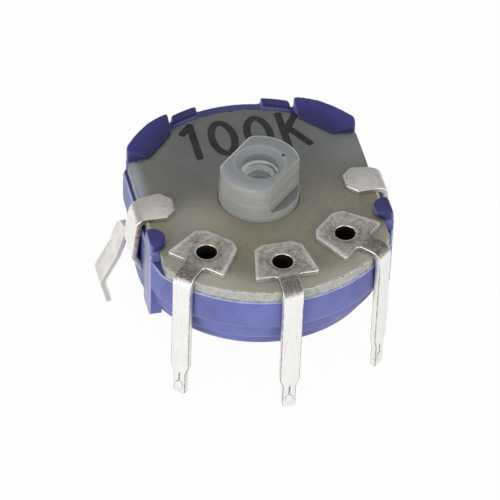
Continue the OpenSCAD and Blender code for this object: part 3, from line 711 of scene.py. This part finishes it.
def rotor_finish(look):
    """Milky plastic with faint flow lines, painted shade on its low ledge and its top, painted light inside its hole,
    painted highlights on the seat in its hole and along its top edge, and a painted shadow in the small pit in its
    top.
    """
    n = Finish("milky_rotor_plastic")
    x, y, z = n.split(n.place)
    layers = n.noise(n.place, 1.0, 3.0, 0.6, (0.12, 0.12, 2.6))
    n.colour = n.mix(1.0, look.colour, n.step(layers, 0.3, 0.7, 0.90, 1.08), "MULTIPLY")
    _, _, up = n.facing()
    level = n.step(up, 0.2, 0.98)
    # Painted shade: the low ledge, which looks up, is painted darker
    n.over(n.both(level, n.step(z, BOARD_TOP + 1.2, BOARD_TOP + 0.95)), times(0.66, look.colour))
    out = n.out(x, y)
    wavy = n.plus(out, n.noise(n.place, 1.1), 0.3)
    # Painted highlight: a near white ring on the seat in the hole
    seat = n.both(n.step(z, HUB_TOP - 1.32, HUB_TOP - 1.24), n.step(z, HUB_TOP - 1.02, HUB_TOP - 1.12),
                  n.step(n.plus(wavy, x, -0.10), 1.32, 1.40), n.step(out, 1.50, 1.44))
    across = n.work("ABSOLUTE", n.plus(n.work("MULTIPLY", x, HUB_WAY[1]), y, -HUB_WAY[0]))
    inset = n.work("MINIMUM", n.work("SUBTRACT", HUB_RADIUS, out), n.work("SUBTRACT", HUB_FLAT, across))
    # Painted shade: the hub's top and the mouth of its hole are painted darker and cooler
    high = n.both(n.work("MAXIMUM", level, n.step(out, 2.1, 1.9)), n.step(z, HUB_TOP - 1.3, HUB_TOP - 1.1))
    n.over(high, look.top)
    # Painted light: the hole below the seat is painted bright, as light comes through the milky plastic
    inside = n.both(n.step(out, 1.15, 1.08), n.step(z, HUB_TOP - 1.1, HUB_TOP - 1.3))
    n.over(inside, times(1.44, look.bright))
    # Painted highlight on the seat ring
    n.over(seat, (0.95, 0.96, 0.95))
    # Painted highlight: a faint pale arc round the mouth of the hole
    painted_arc_highlight = n.both(n.step(n.work("ABSOLUTE", n.work("SUBTRACT", wavy, 2.03)), 0.16, 0.04),
                  n.step(z, HUB_TOP - 0.2, HUB_TOP - 0.05), 0.12)
    n.over(painted_arc_highlight, look.bright)
    # Painted highlight: a ragged bright line along the hub's top edge, away from the front
    ragged = n.plus(inset, n.noise(n.place, 3.2, 4.0, 0.7), 0.24)
    painted_rim_highlight = n.both(n.step(ragged, 0.32, 0.24), n.step(y, -0.4, 0.8, 0.0, 0.75),
                   n.step(z, HUB_TOP - 0.3, HUB_TOP - 0.15))
    n.over(painted_rim_highlight, look.bright)
    # Painted shadow: the pit is painted near black
    pit = n.both(n.step(n.out(x, y, PIT), 0.15, 0.09), n.step(z, HUB_TOP - 0.5, HUB_TOP - 0.4))
    n.over(pit, (0.01, 0.01, 0.01))
    n.shader.inputs["Subsurface Weight"].default_value = 0.6
    n.shader.inputs["Subsurface Radius"].default_value = (1.0, 1.0, 1.0)
    n.shader.inputs["Subsurface Scale"].default_value = 0.0009
    return n.surface(n.place, 5.0, 0.30, 0.46, 0.00001, n.work("MULTIPLY", layers, 2.0))


def rotor_edge_finish(look):
    """Plastic of the rings in the hub's hole, painted very bright as a highlight."""
    n = Finish("thread_ring_painted_highlight")
    chips = n.step(n.noise(n.place, 3.0, 4.0, 0.7), 0.35, 0.65)
    n.colour = n.mix(chips, times(1.1, look.bright), times(1.42, look.bright))
    return n.surface(n.place, 7.0, 0.22, 0.40, 0.00003)


def plain_finish(name, colour, other, metallic, smooth, rough):
    """A simple grainy finish for what lies inside."""
    n = Finish(name)
    n.colour = n.mix(n.clouds(n.place, 1.5), colour, other)
    n.shader.inputs["Metallic"].default_value = metallic
    return n.surface(n.place, 10.0, smooth, rough, 0.00001)


class POTENTIOMETER_OT_housing(bpy.types.Operator):
    """Rounds the moulded cup's edges and gives it its plastic"""

    bl_idname = "potentiometer.housing"
    bl_label = "Housing"

    def crown(self, look, finish, seam):
        """The hooks, posts and rim above the seam, with their forms smoothed."""
        piece = node_copy("housing", "cup_crown", finish)
        trim(piece, seam - 0.25, clear_inner=True)
        step = piece.modifiers.new("even_skin", "REMESH")
        step.mode = "VOXEL"
        step.voxel_size = 0.07
        bpy.ops.object.modifier_apply(modifier=step.name)
        for low, front in ((seam, math.inf), (BOARD_TOP + 0.35, -1.0)):
            choose(piece, "VERT", lambda corner: corner.co.z > low and corner.co.y < front)
            bpy.ops.mesh.vertices_smooth(factor=0.5, repeat=look.melt)
            done()
        choose(piece, "VERT", lambda corner: corner.co.z < seam - 0.02)
        bpy.ops.transform.shrink_fatten(value=-0.03)
        done()
        return piece

    def execute(self, context):
        look = context.scene.pot_housing
        finish = housing_finish(look)
        seam = BOARD_TOP - 0.25
        below = seam - 0.02
        fine = look.fine_edge / MM

        def tiers(p, along):
            return p.xy.length > CUP_ROUND and p.z < BOARD_LOW - 1.8 and abs(along.z) < 0.1

        def posts(p, along):
            return abs(along.z) > 0.95 and abs(p.x) > CUP_SIDE - 0.14 and p.y < -2.0 and p.z < below

        def rim(p, along):
            return BOARD_LOW - 0.05 < p.z < below and abs(along.z) < 0.1

        crown = self.crown(look, finish, seam)
        piece = node_copy("housing", "cup_moulding", finish, housing_edge_finish(look))
        trim(piece, seam, clear_outer=True)
        for width, wanted, outer_only in ((1.5 * fine, tiers, False), (fine, posts, True), (fine, rim, True)):
            soften(piece, width, wanted, least_turn=40, segments=2, outer_only=outer_only)
        fuse(piece, crown)
        settle(piece, "base", "housing")
        return {"FINISHED"}


class POTENTIOMETER_OT_board(bpy.types.Operator):
    """Roughens the board's punched edge and gives it its laminate"""

    bl_idname = "potentiometer.board"
    bl_label = "Resistor Board"

    def execute(self, context):
        look = context.scene.pot_board
        finish = board_finish(look)
        piece = node_copy("resistor_board", "board_laminate", finish, finish)
        soften(piece, 0.07, lambda p, along: p.xy.length > 8.0, segments=2)
        choose(piece, "FACE", lambda face: face.calc_center_median().xy.length > 8.4 and abs(face.normal.z) < 0.9)
        bpy.ops.mesh.subdivide(number_cuts=3)
        bpy.ops.transform.vertex_random(offset=look.ragged / MM, uniform=1.0, normal=0.0, seed=7)
        done()
        settle(piece, "base", "resistor_board")
        return {"FINISHED"}


class POTENTIOMETER_OT_print(bpy.types.Operator):
    """Prints a plain resistance value on the board"""

    bl_idname = "potentiometer.value_print"
    bl_label = "Printed Value"

    def raised(self, made):
        """Gives a flat stroke the thickness of the ink."""
        edit(made)
        bpy.ops.mesh.extrude_region_move(TRANSFORM_OT_translate={"value": (0, 0, INK)})
        bpy.ops.mesh.select_all(action="SELECT")
        bpy.ops.mesh.normals_make_consistent(inside=False)
        done()
        return made

    def bar(self, start, end, width):
        """A straight stroke with round ends."""
        start, end = Vector(start), Vector(end)
        along = end - start
        made = begin(bpy.ops.mesh.primitive_plane_add, sized(along.length + width, width, 1), size=1)
        edit(made)
        bpy.ops.mesh.bevel(offset=width * 0.3, segments=5, affect="VERTICES")
        done()
        made.data.transform(Matrix.Rotation(math.atan2(along.y, along.x), 4, "Z"))
        made.data.transform(at((start.x + end.x) / 2, (start.y + end.y) / 2, 0))
        return self.raised(made)

    def loop(self, centre, half_width, half_height, width):
        """A closed oval stroke."""
        made = begin(bpy.ops.mesh.primitive_circle_add, sized(half_width, half_height, 1),
                     vertices=40, radius=1, fill_type="NGON")
        edit(made)
        bpy.ops.mesh.inset(thickness=width)
        bpy.ops.mesh.delete(type="FACE")
        done()
        made.data.transform(at(*centre, 0))
        return self.raised(made)

    def fused(self, first, *others):
        """Joins the strokes of one figure into one outline, each a hair higher than the last."""
        for index, other in enumerate(others):
            other.data.transform(at(0, 0, 0.001 * (index + 1)))
            fuse(first, other)
        return first

    def execute(self, context):
        look = context.scene.pot_board
        w = look.stroke / MM
        figures = [
            self.fused(self.bar((-3.35, 5.0), (-3.35, 8.5), w), self.bar((-4.05, 7.8), (-3.35, 8.5), w)),
            self.loop((-1.15, 6.75), 1.12, 2.02, w),
            self.loop((1.6, 6.75), 1.12, 2.02, w),
            self.fused(self.bar((3.5, 5.0), (3.5, 8.5), w), self.bar((3.6, 6.5), (4.8, 8.4), w),
                       self.bar((3.95, 6.9), (5.1, 5.0), w)),
        ]
        alone(figures[0])
        for made in figures[1:]:
            made.select_set(True)
        bpy.ops.object.join()
        piece = context.object
        piece.name = piece.data.name = "value_print"
        piece.data.materials.clear()
        piece.data.materials.append(ink_finish(look))
        piece.data.transform(at(0, 0, BOARD_TOP + 0.002))
        settle(piece, "base")
        return {"FINISHED"}


class POTENTIOMETER_OT_terminals(bpy.types.Operator):
    """Rounds one terminal's stamped edges, copies it to its three places and tins it"""

    bl_idname = "potentiometer.terminals"
    bl_label = "Terminals"

    def coin_tip(self, piece):
        """Presses an oval nib and a short groove into the front of the tip."""
        half_width, half_height, height = NIB
        nib = begin(bpy.ops.mesh.primitive_cylinder_add, sized(half_width, half_height, 1),
                    vertices=28, radius=1, depth=0.12)
        soften(nib, 0.035, lambda p, along: p.z > 0.05, segments=2, finish=0)
        nib.data.transform(at(0, 0.02 - LEG_FACE, height) @ turned(90, "X"))
        fuse(piece, nib)
        groove = at(0, -LEG_FACE, -0.70) @ turned(6, "Y") @ sized(0.08, 0.14, 0.7)
        fuse(piece, begin(bpy.ops.mesh.primitive_cube_add, groove, size=1), "DIFFERENCE")

    def execute(self, context):
        look = context.scene.pot_metal
        first = node_copy("terminal_middle", "terminal_blank", terminal_finish(look), terminal_edge_finish(look))
        for width, front in ((0.22, True), (0.12, False)):
            soften(first, width, lambda p, along: p.z > BOARD_TOP and abs(along.z) > 0.95
                   and (p.y < -8.5) == front and (p.xy - Vector(EYELET)).length > 1.5, segments=4, finish=0)
        soften(first, look.edge / MM, lambda p, along: p.z > BOARD_TOP - 0.05 or p.z < BOARD_LOW - 0.3
               or -p.y > LEG_FACE - 0.6)
        self.coin_tip(first)
        low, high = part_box("terminal_right")
        turn = math.atan2((low.x + high.x) / 2, -(low.y + high.y) / 2)
        for place, angle in (("left", -turn), ("middle", 0), ("right", turn)):
            mesh = first.data.copy()
            own = mesh.attributes.new("own_place", "FLOAT_VECTOR", "POINT")
            shifted = mesh.attributes.new("own_place_shifted", "FLOAT_VECTOR", "POINT")
            for vertex, value, moved in zip(mesh.vertices, own.data, shifted.data):
                value.vector = vertex.co
                moved.vector = vertex.co + Vector((0, 0, 31 * angle))
            mesh.transform(Matrix.Rotation(angle, 4, "Z"))
            piece = linked("tinned_terminal_" + place, mesh)
            settle(piece, "base", "terminal_" + place)
        bpy.data.objects.remove(first)
        return {"FINISHED"}


class POTENTIOMETER_OT_clips(bpy.types.Operator):
    """Rounds the clips' stamped edges and tins them"""

    bl_idname = "potentiometer.clips"
    bl_label = "Clips"

    def round_corners(self, piece):
        """Rounds the back corner of the top bend and the top back corner of the leg."""
        edge_x = max(abs(corner.co.x) for corner in piece.data.vertices if corner.co.z > BOARD_TOP - 0.3)
        hand = math.copysign(1, piece.data.vertices[0].co.x)
        for across, along, down in ((2.2, 0.35, 1.8), (1.35, 0.62, 1.35), (0.8, 1.0, 0.8)):
            way = Vector((0, along, -down))
            corner = Vector((hand * edge_x, STRIP_BACK - along, LUG_TOP - 0.03)) - 0.5 * way.normalized()
            shave(piece, corner, way, (hand / across, 1 / along, 1 / down), way.length + 0.55)
        leg_top = max(corner.co.z for corner in piece.data.vertices if corner.co.y > LEG_BACK - 0.1)
        for along, down in ((0.45, 1.9), (1.05, 1.3), (2.04, 0.75)):
            shave(piece, (hand * edge_x, LEG_BACK - along, leg_top), (0, along, -down), (0, down, along), 4)

    def execute(self, context):
        look = context.scene.pot_metal
        finish, edge = clip_finish(look), metal_edge_finish(look)
        for side in ("left", "right"):
            piece = node_copy("clip_" + side, "tinned_clip_" + side, finish, edge)
            self.round_corners(piece)
            join_flat(piece, 0.08, 0.5)
            # The crease where the leg leaves the strip has no room for a rounding
            soften(piece, look.edge / MM,
                   lambda p, along: not (abs(p.y - STRIP_BACK) < 0.05 and 4.6 < p.z < 6.4), clamp=False)
            settle(piece, "base", "clip_" + side)
        return {"FINISHED"}


class POTENTIOMETER_OT_rotor(bpy.types.Operator):
    """Rounds the rotor's hub, turns the thread rings into its hole and gives it its milky plastic"""

    bl_idname = "potentiometer.rotor"
    bl_label = "Rotor"

    def roll_front(self, piece):
        """Rolls the top edge of the hub's front round, less towards its sides."""
        shift, roll, tall, deep = 0.6, 0.7, 6, 20
        around = begin(bpy.ops.mesh.primitive_cylinder_add, vertices=128, radius=HUB_RADIUS + 0.02 + shift,
                       depth=tall)
        soften(around, roll, lambda p, along: p.z > tall / 2 - 0.1, segments=10, finish=0)
        around.data.transform(at(HUB_WAY[0] * shift, HUB_WAY[1] * shift, HUB_TOP + 0.01 - tall / 2))
        below = begin(bpy.ops.mesh.primitive_cylinder_add, at(0, 0, BOARD_TOP + 1.5 - deep / 2),
                      vertices=64, radius=12, depth=deep)
        fuse(piece, fuse(around, below), "INTERSECT")

    def thread_rings(self, look):
        """Turns one ring about the rotor axis and copies it to its depths in the hole."""
        ring = begin(bpy.ops.mesh.primitive_circle_add, at(THREAD_RADIUS, 0, 0) @ turned(90, "X"),
                     vertices=10, radius=look.ring / MM)
        edit(ring)
        bpy.ops.mesh.spin(steps=64, angle=math.tau, center=(0, 0, 0), axis=(0, 0, 1))
        bpy.ops.mesh.select_all(action="SELECT")
        bpy.ops.mesh.remove_doubles(threshold=0.0005)
        bpy.ops.mesh.normals_make_consistent(inside=False)
        done()
        ring.data.materials.append(rotor_edge_finish(look))
        for index, depth in enumerate(THREAD_DEPTHS):
            mesh = ring.data.copy()
            mesh.transform(at(0, 0, HUB_TOP - depth))
            settle(linked("thread_ring_%d" % (index + 1), mesh), "rotor")
        bpy.data.objects.remove(ring)

    def execute(self, context):
        look = context.scene.pot_rotor
        piece = node_copy("rotor", "rotor_moulding", rotor_finish(look))
        soften(piece, 0.2, lambda p, along: p.z > BOARD_TOP + 1.0 and p.xy.length > 2.5 and abs(along.z) > 0.9,
               segments=4, finish=0)
        soften(piece, look.edge / MM, lambda p, along: p.z > HUB_TOP - 0.05 and p.xy.length > 2.0,
               segments=6, finish=0)
        self.roll_front(piece)
        pit = begin(bpy.ops.mesh.primitive_cone_add, at(*PIT, HUB_TOP), vertices=14, radius1=0.05, radius2=0.13,
                    depth=0.4)
        fuse(piece, pit, "DIFFERENCE")
        settle(piece, "rotor", "rotor")
        self.thread_rings(look)
        return {"FINISHED"}


class POTENTIOMETER_OT_inside(bpy.types.Operator):
    """Gives the printed tracks and the wiper their finishes"""

    bl_idname = "potentiometer.inside"
    bl_label = "Tracks and Wiper"

    def execute(self, context):
        carbon = plain_finish("printed_carbon", (0.012, 0.012, 0.013), (0.022, 0.022, 0.024), 0.0, 0.5, 0.7)
        silver = plain_finish("printed_silver", (0.62, 0.62, 0.60), (0.48, 0.48, 0.46), 0.9, 0.4, 0.6)
        bronze = plain_finish("spring_bronze", (0.66, 0.47, 0.22), (0.52, 0.36, 0.17), 1.0, 0.28, 0.42)
        for node, finish in (("resistive_track", carbon), ("collector_track", silver), ("end_pads", silver),
                             ("wiper_contact", bronze)):
            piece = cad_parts[node]
            piece.data.materials.clear()
            piece.data.materials.append(finish)
        return {"FINISHED"}


class POTENTIOMETER_OT_stage(bpy.types.Operator):
    """Sets the floor, the soft light and the camera"""

    bl_idname = "potentiometer.stage"
    bl_label = "Stage"

    def floor(self, look):
        """A pale sheet under the tips, which lights the part as paper and looks almost white itself."""
        sheet = begin(bpy.ops.mesh.primitive_plane_add, at(0, 0, TIP_LOW - 0.00002), size=3, location=(0, 0, 0))
        sheet.name = "pale_floor"
        finish = bpy.data.materials.new("pale_floor")
        finish.use_nodes = True
        finish.node_tree.nodes.clear()
        n = Nodes(finish.node_tree)
        path = n.put("ShaderNodeLightPath").outputs
        seen = n.work("MAXIMUM", path["Is Camera Ray"],
                      n.work("MAXIMUM", path["Is Glossy Ray"], path["Is Transmission Ray"]))
        paper = n.put("ShaderNodeBsdfDiffuse", {"Color": (*look.floor, 1)})
        glow = n.put("ShaderNodeEmission", {"Color": (1, 1, 1, 1), "Strength": 1.0})
        share = n.put("ShaderNodeMixShader", {0: n.work("MULTIPLY", seen, FLOOR_WHITE),
                                              1: paper.outputs[0], 2: glow.outputs[0]})
        n.put("ShaderNodeOutputMaterial", {"Surface": share.outputs[0]})
        sheet.data.materials.append(finish)

    def lamp(self, name, place, power, size):
        """A round lamp that shines at the middle of the part."""
        data = bpy.data.lights.new(name, "AREA")
        data.shape = "DISK"
        data.size = size
        data.energy = power
        lamp = linked(name, data)
        lamp.location = place
        lamp.rotation_euler = (Vector((0, 0, 0.005)) - Vector(place)).to_track_quat("-Z", "Y").to_euler()

    def room(self, look):
        """Even white light from all round."""
        world = bpy.data.worlds.new("soft_room")
        bpy.context.scene.world = world
        world.use_nodes = True
        light = world.node_tree.nodes["Background"].inputs
        light["Color"].default_value = (1, 1, 1, 1)
        light["Strength"].default_value = look.sky

    def camera(self, look):
        """The camera as fitted to the photograph."""
        yaw, pitch, roll, distance = look.yaw, look.pitch, look.roll, look.distance / MM
        back = Vector((math.sin(yaw) * math.cos(pitch), -math.cos(yaw) * math.cos(pitch), math.sin(pitch)))
        right = Vector((math.cos(yaw), math.sin(yaw), 0))
        up = back.cross(right)
        right, up = math.cos(roll) * right + math.sin(roll) * up, -math.sin(roll) * right + math.cos(roll) * up
        reach = look.lens / SENSOR * PICTURE
        across, down = ((pixel - PICTURE / 2) / reach * distance for pixel in AXIS_PIXEL)
        place = distance * back - across * right + down * up + Vector((0, 0, BOARD_TOP))
        data = bpy.data.cameras.new("photo_camera")
        data.lens = look.lens
        data.sensor_width = SENSOR
        data.clip_start = 0.01
        camera = linked("photo_camera", data)
        camera.matrix_world = Matrix.Translation(place * MM) @ Matrix((right, up, back)).transposed().to_4x4()
        bpy.context.scene.camera = camera

    def execute(self, context):
        look = context.scene.pot_stage
        self.floor(look)
        self.lamp("front_left", (-0.38, -0.28, 0.10), look.key, 0.45)
        self.lamp("front_right", (0.28, -0.36, 0.09), 0.66 * look.key, 0.45)
        self.lamp("overhead", (0.05, 0.12, 0.45), 0.10 * look.key, 0.40)
        self.room(look)
        self.camera(look)
        context.scene.view_settings.view_transform = "Standard"
        return {"FINISHED"}


OPERATORS = (
    POTENTIOMETER_OT_housing, POTENTIOMETER_OT_board, POTENTIOMETER_OT_print, POTENTIOMETER_OT_terminals,
    POTENTIOMETER_OT_clips, POTENTIOMETER_OT_rotor, POTENTIOMETER_OT_inside, POTENTIOMETER_OT_stage,
)
SETTINGS = {
    "pot_housing": HousingSettings, "pot_board": BoardSettings, "pot_metal": MetalSettings,
    "pot_rotor": RotorSettings, "pot_stage": StageSettings,
}


class POTENTIOMETER_PT_looks(bpy.types.Panel):
    """Lists the pieces and their settings"""

    bl_label = "Potentiometer Looks"
    bl_idname = "POTENTIOMETER_PT_looks"
    bl_space_type = "VIEW_3D"
    bl_region_type = "UI"
    bl_category = "Potentiometer"

    def draw(self, context):
        for name, kind in SETTINGS.items():
            box = self.layout.box()
            for key in kind.__annotations__:
                box.prop(getattr(context.scene, name), key)
        for operator in OPERATORS:
            self.layout.operator(operator.bl_idname)


CLASSES = (*SETTINGS.values(), *OPERATORS, POTENTIOMETER_PT_looks)


def register():
    for kind in CLASSES:
        bpy.utils.register_class(kind)
    for name, kind in SETTINGS.items():
        setattr(bpy.types.Scene, name, bpy.props.PointerProperty(type=kind))


def unregister():
    for name in SETTINGS:
        delattr(bpy.types.Scene, name)
    for kind in reversed(CLASSES):
        bpy.utils.unregister_class(kind)


def main():
    register()
    bpy.ops.potentiometer.stage()
    bpy.ops.potentiometer.housing()
    bpy.ops.potentiometer.board()
    bpy.ops.potentiometer.value_print()
    bpy.ops.potentiometer.terminals()
    bpy.ops.potentiometer.clips()
    bpy.ops.potentiometer.rotor()
    bpy.ops.potentiometer.inside()


if __name__ == "__main__":
    main()
